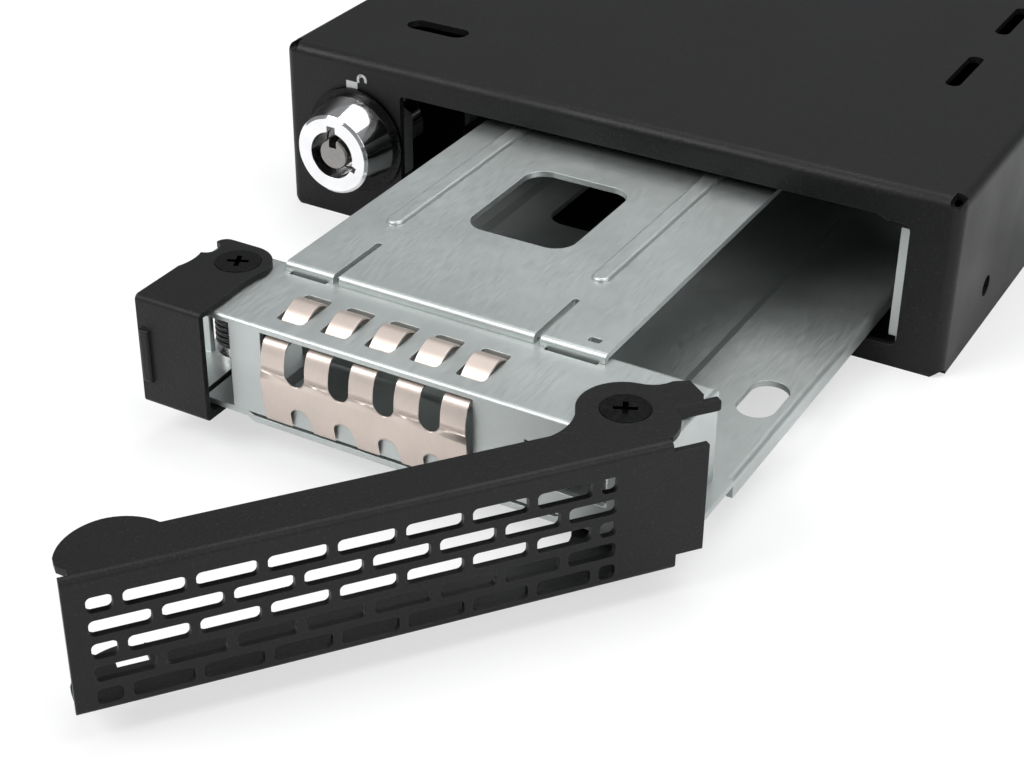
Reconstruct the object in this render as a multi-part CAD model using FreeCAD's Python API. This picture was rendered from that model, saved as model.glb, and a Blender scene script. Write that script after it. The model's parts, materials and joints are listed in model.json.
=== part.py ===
import FreeCAD, Part
import math
import os

# Hot swap drive caddy for one 2.5 inch drive, sliding in its 3.5 inch bay cage.
# Everything is laid out from the cage's front lower left corner, x to the right, y into the
# cage and z up, with the caddy fully home and its door shut. The last section then slides the
# caddy out, opens the door and puts the origin in the middle of the cage's bottom face.

V = FreeCAD.Vector
X, Y, Z = V(1, 0, 0), V(0, 1, 0), V(0, 0, 1)

# ---- cage ----
CAGE_W = 101.6          # width of a 3.5 inch bay device
CAGE_D = 146.0          # depth
CAGE_H = 25.4           # height
SHEET = 1.0             # cage sheet
BEND = 1.5              # outer bend radius of the cage
OPEN_LEFT = 19.5        # lock bay, from the left side to the tray opening
OPEN_RIGHT = 8.7        # from the tray opening to the right side
OPEN_BELOW = 3.1        # sill under the opening
OPEN_ABOVE = 4.2        # lintel over the opening
NOTCH = 2.2             # widening of the opening for the open door's hinge end
NOTCH_DROP = 0.6        # from the top of the opening to the top of the notch
RAIL_SHEET = 0.8        # guide rails
RAIL_DROP = 1.5         # from the top of the opening to the top of the rails
STRIKER_H = 1.0         # height of the striker's nose, above the open door's wall
HOOK_BITE = 0.9         # hook behind the striker
HOOK_BACK = 1.8         # hook's pulling side, in front of the hinge

# ---- mounting holes of the bay standard ----
SIDE_HOLES_FROM_REAR = (28.5, 70.1, 130.1)
SIDE_HOLE_Z = 6.35
BOTTOM_PITCH_X = 95.25
BOTTOM_PITCH_Y = 44.45
BOTTOM_FROM_REAR = 41.28
SCREW_BORE = 3.0        # all small screws are M3

# ---- lock ----
LOCK_X = 12.0
LOCK_FACE_R = 5.9
LOCK_BASE_R = 7.0
LOCK_PROUD = 6.5
LOCK_BODY_R = 5.7
LOCK_BODY_L = 9.0
KEYWAY_OUT = 3.5
KEYWAY_IN = 2.3
CAM_REACH = 11.2
CAM_W = 5.0
CAM_T = 1.2

# ---- caddy ----
TRAY_OUT = 61.2         # how far the caddy is drawn out
DOOR_OPEN = 52.0        # degrees the door stands open
SIDE_GAP = 1.75         # tray to opening, each side
STACK_GAP = 0.1         # between sheets that turn on each other
TRAY_SHEET = 0.8        # tray, door and latch sheet
DOOR_PROUD = 2.0        # shut door in front of the cage face
DOOR_GAP_BELOW = 0.25   # door to opening, bottom and top
DOOR_GAP_ABOVE = 1.15
FRONT_SPACE = 4.7       # from the door's face to the front box
BOX_DEPTH = 15.0
BOX_INSET = 2.2         # front box in from the tray's right edge
LIP = 1.7               # runner lip under the tray floor's edges
FLOOR_STEP = 0.55       # the middle of the floor is pressed down
SIDE_BAND = 13.4        # floor band outside the step
DRIVE_PITCH_X = 61.72   # 2.5 inch drive, bottom screw holes
DRIVE_PITCH_Y = 76.6
DRIVE_FRONT_HOLE = 36.4
DRIVE_HOLE_TO_END = 14.0
PLATE_W = 43.7          # drive hold-down plate
PLATE_L = 86.0
PLATE_INSET = 2.2       # hold-down plate left of the tray's middle
PLATE_LAP = 2.2         # its front edge over the front box
PLATE_RISE = 1.2        # plate over the front box
WINDOW_W = 14.8
WINDOW_L = 19.2
RIB_W = 2.4
RIB_H = 0.5
RIB_FRONT = 14.6        # rib ends, from the plate's front and rear edges
RIB_REAR = 8.0
RIBS_IN = (5.8, 8.7)    # ribs in from the plate's left and right edges

# ---- door and latch ----
DOOR_ARM = 62.2         # hinge to the free end
DOOR_TAIL = 6.1         # hinge to the hinge end
DOOR_STEP = 3.2         # the wall's step below, at the hinge end
DOOR_HINGE_X = 8.0      # hinge in from the tray's right edge
DOOR_HINGE_Y = 8.0      # hinge behind the door's face
FLANGE = 6.0            # depth of the door's flanges
EAR = 8.6               # depth of the ear at the free end
BOSS_R = 5.4            # flange round the hinge
LATCH_W = 9.4
LATCH_BACK = 2.1        # latch face behind the door's face
LATCH_HINGE_X = 5.5     # hinge in from the tray's left edge
LATCH_HINGE_Y = 15.1    # hinge behind the door's face
LATCH_END_R = 4.2
PIN_R = 0.7             # latch pin that holds the door's lower ear
PIN_REACH = 9.0         # pin in front of the latch's hinge
PIN_CATCH = 0.1         # ear's catching edge right of the pin's middle
PIN_TRAVEL = 2.4        # far side of the ear's slot, clear of the pressed pin
VENT_L = 6.2            # door vents
VENT_H = 1.9
VENT_R = 0.6            # their corners
VENT_PITCH = 7.16
VENT_ROWS = 5
VENT_ROW_PITCH = 2.8
VENT_DROP = 0.8         # middle row below the middle of the wall
VENT_LEFT = 2.2         # plain wall at the free end
VENT_RIGHT = 10.5       # plain wall at the hinge end

# ---- earthing strip ----
FINGERS = 5
FINGER_PITCH = 6.1
FINGER_W = 3.1
STRIP_T = 0.3

# ---- screws ----
HEAD_R = 2.85
HEAD_H = 1.6
HEAD_PROUD = 0.05
WASHER_R = 3.5
CLEAR = 0.1

# ---- worked out from the sizes above ----
open_x0, open_x1 = OPEN_LEFT, CAGE_W - OPEN_RIGHT
open_z0, open_z1 = OPEN_BELOW, CAGE_H - OPEN_ABOVE
tray_x0, tray_x1 = open_x0 + SIDE_GAP, open_x1 - SIDE_GAP
tray_mid = (tray_x0 + tray_x1) / 2
door_z0, door_z1 = open_z0 + DOOR_GAP_BELOW, open_z1 - DOOR_GAP_ABOVE
latch_z0, latch_z1 = door_z0 + TRAY_SHEET + STACK_GAP, door_z1 - TRAY_SHEET - STACK_GAP
floor_z0 = latch_z0 + TRAY_SHEET + STACK_GAP
floor_z1 = floor_z0 + TRAY_SHEET
box_z1 = latch_z1 - TRAY_SHEET - STACK_GAP
box_in_z = box_z1 - TRAY_SHEET
door_y = -DOOR_PROUD
box_y0 = door_y + FRONT_SPACE
box_y1 = box_y0 + BOX_DEPTH
latch_y = door_y + LATCH_BACK
plate_x0 = tray_mid - PLATE_INSET - PLATE_W / 2
plate_x1 = plate_x0 + PLATE_W
plate_y0 = box_y1 - PLATE_LAP
plate_z1 = box_z1 + PLATE_RISE
plate_z0 = plate_z1 - TRAY_SHEET
drive_end = DRIVE_FRONT_HOLE + DRIVE_PITCH_Y + DRIVE_HOLE_TO_END
tray_end = drive_end - 3.0
board_y = drive_end + 6.6
BOARD_T = 1.6
hinge_x, hinge_y = tray_x1 - DOOR_HINGE_X, door_y + DOOR_HINGE_Y
latch_x, latch_hy = tray_x0 + LATCH_HINGE_X, door_y + LATCH_HINGE_Y
lock_z = CAGE_H / 2 + 0.2
strip_x0 = tray_mid - FINGERS * FINGER_PITCH / 2 - 3.0
strip_x1 = strip_x0 + FINGERS * FINGER_PITCH + 0.2
rail_x = open_x1 + NOTCH - 0.5      # inner face of the right guide rail


def box(x0, x1, y0, y1, z0, z1):
    return Part.makeBox(x1 - x0, y1 - y0, z1 - z0, V(x0, y0, z0))


def rod(radius, start, end):
    axis = end - start
    return Part.makeCylinder(radius, axis.Length, start, axis)


def cone(r0, r1, start, end):
    axis = end - start
    return Part.makeCone(r0, r1, axis.Length, start, axis)


def fuse(shapes):
    return shapes[0].fuse(shapes[1:]).removeSplitter()


def cut(shape, tools):
    return shape.cut(tools).removeSplitter()


def slot_up(cx, cy, length, width, z0, z1, along=X):
    """Round-ended slot standing on z."""
    half = along * ((length - width) / 2)
    a, b = V(cx, cy, z0) - half, V(cx, cy, z0) + half
    side = Z.cross(along) * (width / 2)
    body = Part.Face(Part.makePolygon([a - side, b - side, b + side, a + side, a - side]))
    ends = [Part.makeCylinder(width / 2, z1 - z0, p) for p in (a, b)]
    return body.extrude(V(0, 0, z1 - z0)).fuse(ends).removeSplitter()


def slot_back(x0, x1, cz, height, y0, y1):
    """Round-ended horizontal slot running along y."""
    r = height / 2
    parts = [box(x0 + r, x1 - r, y0, y1, cz - r, cz + r)]
    parts += [rod(r, V(x, y0, cz), V(x, y1, cz)) for x in (x0 + r, x1 - r)]
    return fuse(parts)


def soften(shape, radius, choose):
    """Fillet the edges whose middle point passes the test."""
    edges = [e for e in shape.Edges if choose(e.CenterOfMass)]
    return shape.makeFillet(radius, edges)


def near(a, b, tol=0.01):
    return abs(a - b) < tol


def arc(p, q, r):
    return Part.Arc(p, q, r).toShape()


def line(p, q):
    return Part.LineSegment(p, q).toShape()


def sheet(edges, height):
    """A closed outline at its z, thickened upward."""
    return Part.Face(Part.Wire(edges)).extrude(V(0, 0, height))


def rounded_box(x0, x1, y0, y1, z0, z1, r, through=Z):
    """Block with the four edges that run along one axis rounded."""
    middle = V(x0 + x1, y0 + y1, z0 + z1).dot(through) / 2
    return soften(box(x0, x1, y0, y1, z0, z1), r, lambda c: near(c.dot(through), middle))


def sink(face, inward):
    """Clearance for a countersunk head whose face is at a point."""
    slope = (HEAD_R - SCREW_BORE / 2) / HEAD_H
    over = 0.3
    return cone(HEAD_R + CLEAR + over * slope, SCREW_BORE / 2 + CLEAR, face - inward * over,
                face + inward * HEAD_H)


def door_swing(z0, z1):
    """Everything in front of the open door's wall, to be kept clear."""
    gap = DOOR_HINGE_Y - TRAY_SHEET - CLEAR
    b = box(hinge_x - 40, hinge_x + 40, hinge_y - gap - 40, hinge_y - gap, z0, z1)
    b.rotate(V(hinge_x, hinge_y, 0), Z, DOOR_OPEN)
    return b


# ------------------------------------------------------------------ cage
def cover_hole_places():
    """Cover screws, two on each side, clear of the standard mounting holes."""
    return [(CAGE_D * f, CAGE_H * 0.36) for f in (0.36, 0.92)]


def opening_tool(y0, y1):
    """Tray opening with its rounded corner and the notch that lets the open door's hinge end
    through."""
    corner = 3.0
    o = box(open_x0, open_x1, y0, y1, open_z0, open_z1)
    o = soften(o, corner, lambda c: near(c.x, open_x1) and near(c.z, open_z1))
    o = soften(o, 0.6, lambda c: near(c.x, open_x0) and near(c.y, (y0 + y1) / 2))
    n = box(open_x1 - 4, open_x1 + NOTCH, y0, y1, open_z0, open_z1 - NOTCH_DROP)
    n = soften(n, 1.0, lambda c: near(c.x, open_x1 + NOTCH) and near(c.y, (y0 + y1) / 2))
    return o.fuse(n)


def cage_cover():
    """Folded cover: top, two sides and the front with the tray opening and the lock's hole."""
    w, d, h, s = CAGE_W, CAGE_D, CAGE_H, SHEET
    outer = box(0, w, 0, d, 0, h)
    side = lambda c: near(c.x, 0) or near(c.x, w)
    outer = soften(outer, BEND, lambda c: (near(c.z, h) and (side(c) or near(c.y, 0)))
                   or (near(c.y, 0) and side(c)))
    inner = box(s, w - s, s, d + 1, -1, h - s)
    inner = soften(inner, BEND - s, lambda c: near(c.z, h - s) and not near(c.y, d + 1)
                   or near(c.y, s) and not near(c.z, -1))
    tools = [inner, opening_tool(-1, s + 1)]
    tools.append(rod(LOCK_BODY_R + CLEAR, V(LOCK_X, -1, lock_z), V(LOCK_X, s + 1, lock_z)))
    # relief cuts where the top, front and side bends meet
    for x in (0, w):
        inward = 1 if x == 0 else -1
        tools.append(rod(0.8, V(x + inward * 1.2, -1, h - 0.5), V(x + inward * 1.2, 2.4, h - 0.5)))
        tools.append(rod(0.9, V(x - inward, 0.9, 0), V(x + 3 * inward, 0.9, 0)))
    # vents in the top
    tools.append(slot_up(LOCK_X + 4.4, 15.5, 10.0, 3.6, h - 2, h + 1))
    for x in (LOCK_X + 2.6, w - 13.6):
        for row in range(3):
            tools.append(slot_up(x, 40 + row * 22.0, 12.0, 2.2, h - 2, h + 1, Y))
    for x in (-1, w - 2 * s):
        for from_rear in SIDE_HOLES_FROM_REAR:
            y = d - from_rear
            tools.append(rod(SCREW_BORE / 2, V(x, y, SIDE_HOLE_Z), V(x + 4, y, SIDE_HOLE_Z)))
    for y, z in cover_hole_places():
        for x, out in ((0, -1), (w, 1)):
            tools.append(rod(SCREW_BORE / 2 + CLEAR, V(x - out * 2, y, z), V(x, y, z)))
            tools.append(sink(V(x, y, z), V(-out, 0, 0)))
    return cut(outer, tools)


def bottom_holes():
    y1 = CAGE_D - BOTTOM_FROM_REAR
    return [(CAGE_W / 2 + sx * BOTTOM_PITCH_X / 2, y) for sx in (-1, 1)
            for y in (y1, y1 - BOTTOM_PITCH_Y)]


# rear ports: name, middle in x, width
DATA_PORT = (0.34, 15.0)
POWER_PORT = (0.62, 27.0)
PORT_H = 6.4


def port_span(port):
    mid = CAGE_W * port[0]
    return mid - port[1] / 2, mid + port[1] / 2


port_z0 = lock_z - PORT_H / 2 - 1.0
tab_w = 10.0
tab_z1 = CAGE_H - 5.0


def board_tabs():
    """Where the board's two upright tabs stand, low x of each."""
    return (SHEET + 5.0, CAGE_W - SHEET - 5.0 - tab_w)


def board_screw_places():
    return [(x + tab_w / 2, z) for x in board_tabs() for z in (7.0, tab_z1 - 3.4)]


def cage_base():
    """Folded base inside the cover: floor, side flanges, rear wall and two board tabs."""
    w, d, h, s = CAGE_W, CAGE_D, CAGE_H, SHEET
    flange_z = h * 0.5
    floor = box(s, w - s, s + 0.5, d, 0, s)
    rear = box(s, w - s, d - s, d, 0, h - s)
    sides = [box(x, x + s, 6.0, d, 0, flange_z) for x in (s, w - 2 * s)]
    tabs = [box(x, x + tab_w, board_y + BOARD_T, board_y + BOARD_T + s, 0, tab_z1) for x in board_tabs()]
    b = fuse([floor, rear] + sides + tabs)
    b = soften(b, 0.9, lambda c: near(c.z, 0) and (near(c.x, s) or near(c.x, w - s) or near(c.y, d)))
    b = soften(b, BEND - s + 0.2, lambda c: near(c.y, d - s / 2) and near(c.z, h - s))
    tools = []
    for x, y in bottom_holes():
        tools.append(rod(SCREW_BORE / 2, V(x, y, -1), V(x, y, s + 1)))
        inner = s if x < w / 2 else w - 2 * s
        tools.append(box(inner - 0.5, inner + s + 0.5, y - 4, y + 4, s, h))
    for x in (0, w - 3 * s):
        for from_rear in SIDE_HOLES_FROM_REAR:
            y = d - from_rear
            tools.append(rod(SCREW_BORE / 2, V(x, y, SIDE_HOLE_Z), V(x + 3 * s, y, SIDE_HOLE_Z)))
    for y, z in cover_hole_places():
        tools.append(rod(SCREW_BORE / 2 + CLEAR / 2, V(0, y, z), V(3 * s, y, z)))
        tools.append(rod(SCREW_BORE / 2 + CLEAR / 2, V(w - 3 * s, y, z), V(w, y, z)))
        tools += [sink(V(x, y, z), V(inward, 0, 0)) for x, inward in ((0, 1), (w, -1))]
    for x, z in board_screw_places():
        tools.append(rod(SCREW_BORE / 2 + CLEAR / 2, V(x, board_y, z), V(x, board_y + 5, z)))
    for port in (DATA_PORT, POWER_PORT):
        x0, x1 = port_span(port)
        tools.append(box(x0 - CLEAR * 2, x1 + CLEAR * 2, d - 2 * s, d + 1,
                         port_z0 - CLEAR * 2, port_z0 + PORT_H + CLEAR * 2))
    # exhaust slots above the ports
    for k in range(9):
        x = w / 2 + (k - 4) * 9.0
        tools.append(slot_back(x - 3.2, x + 3.2, h - 5.6, 2.4, d - 2 * s, d + 1))
    # floor vents between the runners
    for k in range(5):
        tools.append(slot_up(tray_mid, 34 + k * 18.0, 34.0, 4.0, -1, s + 1))
    return cut(b, tools)


def cover_screws():
    """Countersunk screws through the cover's sides into the base's flanges."""
    out = []
    for y, z in cover_hole_places():
        for x, inward in ((0, 1), (CAGE_W, -1)):
            p, step = V(x, y, z), V(inward, 0, 0)
            head = cone(HEAD_R, SCREW_BORE / 2, p, p + step * HEAD_H)
            shank = rod(SCREW_BORE / 2, p + step * (HEAD_H - 0.2), p + step * 4.6)
            out.append(head.fuse(shank).removeSplitter())
    return out


def guide_rail(right):
    """Sheet rail: foot on the base, upright web, brim, and on the right two tabs at the
    front, a plain one behind the notch and the striker that the door's hook pulls on."""
    s, t = SHEET, RAIL_SHEET
    top = open_z1 - RAIL_DROP
    y0 = s + 0.2 if right else 22.0
    y1 = board_y - 4.0
    foot_y = 24.0
    web = box(rail_x, rail_x + t, y0, y1, s, top)
    foot = box(rail_x, CAGE_W - 2 * s - 0.6, foot_y, y1, s, s + t)
    brim = box(rail_x, rail_x + 3.6, foot_y, y1, top - t, top)
    r = fuse([web, foot, brim])
    r = soften(r, t - 0.1, lambda c: near(c.x, rail_x) and (near(c.z, s) or near(c.z, top))
               and c.y > foot_y)
    z = (s + top) / 2 + 2
    slots = [rounded_box(rail_x - 1, rail_x + t + 1, y, y + 16, z - 2, z + 2, 1.5, X)
             for y in (32, 64, 96)]
    r = cut(r, slots)
    if right:
        # both tabs keep clear of the open door's hinge end as it passes through the notch
        x_tab = hinge_x + math.hypot(DOOR_TAIL, DOOR_HINGE_Y) + 0.4
        x_end, striker_y = rail_x + t, hinge_y - HOOK_BACK - t - 2 * CLEAR
        tabs = [box(x_tab, x_end, y0, y0 + t, open_z0 + 0.8, top - 0.2),
                box(x_tab, x_end, striker_y, striker_y + t, top - 4, door_z1),
                box(open_x1 + 0.1, x_end, striker_y, striker_y + t, door_z1 - STRIKER_H, door_z1)]
        return fuse([r] + tabs)
    return r.mirror(V((open_x0 + open_x1) / 2, 0, 0), X)


def runner(right):
    """Moulded angle that the tray's lip slides on, with a lead-in at its front."""
    x_in, x_edge, lead = tray_x1 - 4.4, tray_x1 + 0.2, 8.0
    z_seat, z_top = open_z0 + 0.25, floor_z1 + 2.2
    y0, y1 = box_y1 + 2.4, tray_end + 1.5
    pts = [(x_in, SHEET), (rail_x, SHEET), (rail_x, z_top), (x_edge, z_top), (x_edge, z_seat),
           (x_in, z_seat)]
    r = Part.Face(Part.makePolygon([V(x, y0, z) for x, z in pts + pts[:1]])).extrude(V(0, y1 - y0, 0))
    wedge = [V(x_edge, y0, SHEET), V(x_edge + 0.8, y0, SHEET), V(x_edge, y0 + lead, SHEET),
             V(x_edge, y0, SHEET)]
    ramp = [V(x_in - 1, y0, z_seat), V(x_in - 1, y0, z_seat - 0.7), V(x_in - 1, y0 + lead, z_seat),
            V(x_in - 1, y0, z_seat)]
    r = cut(r, [Part.Face(Part.makePolygon(wedge)).extrude(V(0, 0, z_top)),
                Part.Face(Part.makePolygon(ramp)).extrude(V(6, 0, 0))])
    return r if right else r.mirror(V(tray_mid, 0, 0), X)


def lock_housing():
    """Turned lock body: cone head, flange and threaded barrel, with the round keyway."""
    f = -LOCK_PROUD
    pts = [(0, f), (LOCK_FACE_R - 0.4, f), (LOCK_FACE_R, f + 0.4), (LOCK_BASE_R, -1.4),
           (LOCK_BASE_R, -0.6), (LOCK_BODY_R, -0.6), (LOCK_BODY_R, LOCK_BODY_L), (0, LOCK_BODY_L)]
    wire = Part.makePolygon([V(r, y, 0) for r, y in pts] + [V(0, f, 0)])
    body = Part.Face(wire).revolve(V(0, 0, 0), Y, 360)
    well = rod(KEYWAY_OUT, V(0, f - 1, 0), V(0, LOCK_BODY_L - 1.5, 0))
    spindle = rod(1.9, V(0, 0, 0), V(0, LOCK_BODY_L + 1, 0))
    notch = box(-0.7, 0.7, f - 1, f + 4.0, 2.0, KEYWAY_OUT + 0.9)
    small = box(-0.45, 0.45, f - 1, f + 4.0, 2.0, KEYWAY_OUT + 0.7)
    small.rotate(V(0, 0, 0), Y, 112)
    body = cut(body, [well, spindle, notch, small])
    body.translate(V(LOCK_X, 0, lock_z))
    return body


def lock_washer():
    w = rod(LOCK_BASE_R + 0.9, V(0, -0.6, 0), V(0, 0, 0))
    w = w.cut(rod(LOCK_BODY_R + CLEAR, V(0, -2, 0), V(0, 2, 0)))
    w.translate(V(LOCK_X, 0, lock_z))
    return w


def lock_nut():
    r = 7.4 / math.cos(math.pi / 6)
    turns = [math.radians(60 * k) for k in range(7)]
    pts = [V(r * math.sin(a), SHEET, r * math.cos(a)) for a in turns]
    n = Part.Face(Part.makePolygon(pts)).extrude(V(0, 2.4, 0))
    n = n.cut(rod(LOCK_BODY_R + CLEAR / 2, V(0, 0, 0), V(0, 6, 0)))
    n.translate(V(LOCK_X, 0, lock_z))
    return n


def lock_core():
    """Key post, driver disc in the bottom of the keyway and the spindle to the cam."""
    f = -LOCK_PROUD
    post = rod(KEYWAY_IN, V(0, f + 0.3, 0), V(0, -1.0, 0))
    post = soften(post, 0.35, lambda c: near(c.y, f + 0.3))
    post = post.cut(box(-0.6, 0.6, f - 1, f + 3.4, KEYWAY_IN - 1.3, 4))
    disc = rod(KEYWAY_OUT - CLEAR, V(0, -2.4, 0), V(0, LOCK_BODY_L - 1.6, 0))
    spindle = rod(1.8, V(0, 0, 0), V(0, LOCK_BODY_L + 0.4, 0))
    drive = box(-1.6, 1.6, LOCK_BODY_L + 0.4, LOCK_BODY_L + 0.4 + CAM_T, -1.1, 1.1)
    c = fuse([post, disc, spindle, drive])
    c.translate(V(LOCK_X, 0, lock_z))
    return c


def lock_cam():
    """Cam bar, pointing down when the lock is open."""
    y0 = LOCK_BODY_L + 0.4
    r = CAM_W / 2
    tip = -(CAM_REACH - r)
    hub = rod(r + 0.6, V(0, y0, 0), V(0, y0 + CAM_T, 0))
    bar = box(-r, r, y0, y0 + CAM_T, tip, 0)
    end = rod(r, V(0, y0, tip), V(0, y0 + CAM_T, tip))
    c = cut(fuse([hub, bar, end]), [box(-1.6 - CLEAR / 2, 1.6 + CLEAR / 2, y0 - 1, y0 + 5,
                                        -1.1 - CLEAR / 2, 1.1 + CLEAR / 2)])
    c.translate(V(LOCK_X, 0, lock_z))
    return c


def cam_screw():
    y0 = LOCK_BODY_L + 0.4 + CAM_T
    head = soften(rod(2.6, V(0, y0, 0), V(0, y0 + 1.4, 0)), 0.5, lambda c: near(c.y, y0 + 1.4))
    head = head.cut([box(-1.5, 1.5, y0 + 0.7, y0 + 3, -0.3, 0.3),
                     box(-0.3, 0.3, y0 + 0.7, y0 + 3, -1.5, 1.5)])
    head.translate(V(LOCK_X, 0, lock_z))
    return head


def backplane_board():
    x0, x1 = SHEET + 6.0, CAGE_W - SHEET - 6.0
    b = box(x0, x1, board_y, board_y + BOARD_T, 2.6, CAGE_H - 2.6)
    b = soften(b, 1.0, lambda c: near(c.y, board_y + BOARD_T / 2))
    tools = [rod(SCREW_BORE / 2 + CLEAR, V(x, board_y - 1, z), V(x, board_y + 4, z))
             for x, z in board_screw_places()]
    for k in range(4):
        x = tray_mid + (k - 1.5) * 13.0
        tools.append(slot_back(x - 4.5, x + 4.5, CAGE_H - 6.0, 2.6, board_y - 1, board_y + 3))
    return cut(b, tools)


def board_screws():
    out = []
    for x, z in board_screw_places():
        y = board_y
        head = soften(rod(2.7, V(x, y - 1.6, z), V(x, y, z)), 0.7, lambda c: near(c.y, y - 1.6))
        head = head.cut([box(x - 1.4, x + 1.4, y - 3, y - 1.0, z - 0.3, z + 0.3),
                         box(x - 0.3, x + 0.3, y - 3, y - 1.0, z - 1.4, z + 1.4)])
        shank = rod(SCREW_BORE / 2, V(x, y - 0.2, z), V(x, y + 4.2, z))
        out.append(head.fuse(shank).removeSplitter())
    return out


def drive_connector():
    """Receptacle for the drive's data and power blades."""
    x0 = tray_mid - 23.5
    x1 = x0 + 37.4
    z0 = floor_z1 + 1.0
    y0, y1 = drive_end + 0.4, board_y
    body = box(x0, x1, y0, y1, z0, z0 + 5.2)
    body = soften(body, 0.4, lambda c: near(c.y, y0))
    ears = box(x0 - 2.6, x1 + 2.6, y1 - 2.6, y1, z0 + 0.6, z0 + 4.6)
    split = x0 + 2.2 + 10.6
    tools = []
    for a, b, key in ((x0 + 2.2, split, 1), (split + 2.4, x1 - 2.2, -1)):
        tools.append(box(a, b, y0 - 1, y0 + 4.6, z0 + 1.5, z0 + 2.9))
        k0 = a if key > 0 else b - 1.2
        tools.append(box(k0, k0 + 1.2, y0 - 1, y0 + 4.6, z0 + 1.5, z0 + 4.3))
    return cut(fuse([body, ears]), tools)


def rear_port(port, contacts):
    """Cable port on the back of the board, a shroud round its contact tongue."""
    x0, x1 = port_span(port)
    y0, y1 = board_y + BOARD_T, CAGE_D + 0.4
    z0, z1 = port_z0, port_z0 + PORT_H
    body = box(x0, x1, y0, y1, z0, z1)
    body = soften(body, 0.4, lambda c: near(c.y, y1))
    well = box(x0 + 1.2, x1 - 1.2, y1 - 6.0, y1 + 1, z0 + 1.1, z1 - 1.1)
    tongue = [box(x0 + 2.0, x1 - 2.0, y1 - 6.5, y1 - 0.8, z0 + 3.0, z0 + 4.2),
              box(x0 + 2.0, x0 + 3.2, y1 - 6.5, y1 - 0.8, z0 + 1.8, z0 + 4.2)]
    b = fuse([body.cut(well)] + tongue)
    pitch = (x1 - x0 - 6.0) / (contacts - 1)
    grooves = [box(x0 + 3.6 + pitch * k - 0.25, x0 + 3.6 + pitch * k + 0.25, y1 - 5.0, y1, z0 + 4.0, z0 + 5)
               for k in range(1, contacts - 1)]
    return cut(b, grooves)


# ------------------------------------------------------------------ caddy
def floor_profile(y0, y1, lips):
    """Tray floor section: side bands, the pressed-down middle and the runner lips."""
    t, z = TRAY_SHEET, floor_z1
    a, b = tray_x0 + SIDE_BAND, tray_x1 - SIDE_BAND
    run = 1.2
    low = z - FLOOR_STEP
    top = [(tray_x0, z), (a, z), (a + run, low), (b - run, low), (b, z), (tray_x1, z)]
    if lips:
        under = [(tray_x1, z - t - LIP), (tray_x1 - t, z - t - LIP), (tray_x1 - t, z - t), (b, z - t),
                 (b - run, low - t), (a + run, low - t), (a, z - t), (tray_x0 + t, z - t),
                 (tray_x0 + t, z - t - LIP), (tray_x0, z - t - LIP)]
    else:
        under = [(tray_x1, z - t), (b, z - t), (b - run, low - t), (a + run, low - t), (a, z - t),
                 (tray_x0, z - t)]
    pts = top + under
    wire = Part.makePolygon([V(x, y0, zz) for x, zz in pts + pts[:1]])
    floor = Part.Face(wire).extrude(V(0, y1 - y0, 0))
    if lips:
        floor = soften(floor, t, lambda c: near(c.z, z) and (near(c.x, tray_x0) or near(c.x, tray_x1)))
    return floor


def drive_slots():
    for sx in (-1, 1):
        for y in (DRIVE_FRONT_HOLE, DRIVE_FRONT_HOLE + DRIVE_PITCH_Y):
            yield tray_mid + sx * DRIVE_PITCH_X / 2, y


def tray_pan():
    """Drawn tray floor with drive slots, windows, runner lips and the lock's keeper tab."""
    t = TRAY_SHEET
    front = floor_profile(box_y0 + 0.1, box_y1 + 1.0, False)
    back = floor_profile(box_y1 + 1.0, tray_end, True)
    keeper = rounded_box(tray_x0 + 0.2, tray_x0 + 1.8, box_y0 + 8.7, box_y0 + 8.7 + t,
                         floor_z1 - 0.2, lock_z + 2.6, 0.3)
    pan = fuse([front, back, keeper])
    z0, z1 = floor_z0 - 2, floor_z1 + 1
    tools = [slot_up(x, y, 9.0, 5.0, z0, z1, Y) for x, y in drive_slots()]
    # lightening windows in the pressed-down middle
    span = tray_x1 - tray_x0 - 2 * SIDE_BAND - 12
    for y, length in ((74, 17), (101, 20)):
        tools.append(rounded_box(tray_mid - span / 2, tray_mid + span / 2 - 8, y - length / 2,
                                 y + length / 2, z0, z1, 3.0))
    tools.append(rounded_box(tray_mid - span / 2, tray_mid - span / 2 + 9, 32, 58, z0, z1, 2.0))
    # relief for the drive's connector end
    tools.append(box(tray_mid - 27, tray_mid + 18, tray_end - 3.2, tray_end + 1, z0, z1))
    for x, y in ((hinge_x, hinge_y), (latch_x, latch_hy)):
        tools.append(rod(SCREW_BORE / 2 + CLEAR, V(x, y, z0), V(x, y, z1)))
    tools.append(sink(V(latch_x, latch_hy, latch_z0), Z))
    tools.append(door_swing(z0, z1))
    return cut(pan, tools)


def finger_x(k):
    return strip_x0 + 1.7 + k * FINGER_PITCH


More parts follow.
